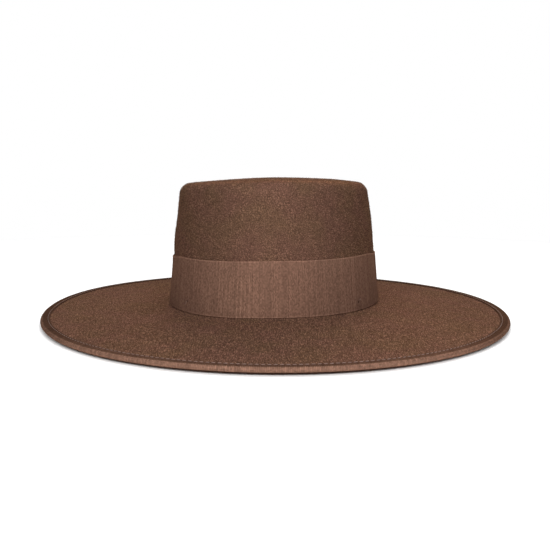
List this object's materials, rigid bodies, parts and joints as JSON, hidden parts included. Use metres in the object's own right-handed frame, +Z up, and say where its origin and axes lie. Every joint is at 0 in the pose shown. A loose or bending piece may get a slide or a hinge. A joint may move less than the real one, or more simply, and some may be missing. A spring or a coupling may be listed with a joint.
{
  "type": "felt boater hat",
  "caption": "Wide-brimmed flat-topped felt hat with a tapering oval crown, a ribbed ribbon round the crown's foot and a ribbon-bound brim edge.",
  "frame": {"origin": "on the resting surface, under the middle of the crown: the centre of the underside of the bound brim edge", "axes": "+Z up through the crown, -Y to the front of the hat, +X to the right of someone who faces the front"},
  "size_m": [0.374, 0.406, 0.1101],
  "materials": {
    "felt": "matte brown wool felt with a short nap",
    "band_ribbon": "ribbed brown grosgrain, low sheen",
    "binding_ribbon": "ribbed brown grosgrain, stitched, low sheen"
  },
  "bodies": {
    "root": {"felt_body": "felt", "ribbon_band": "band_ribbon", "brim_binding": "binding_ribbon"}
  },
  "joints": []
}
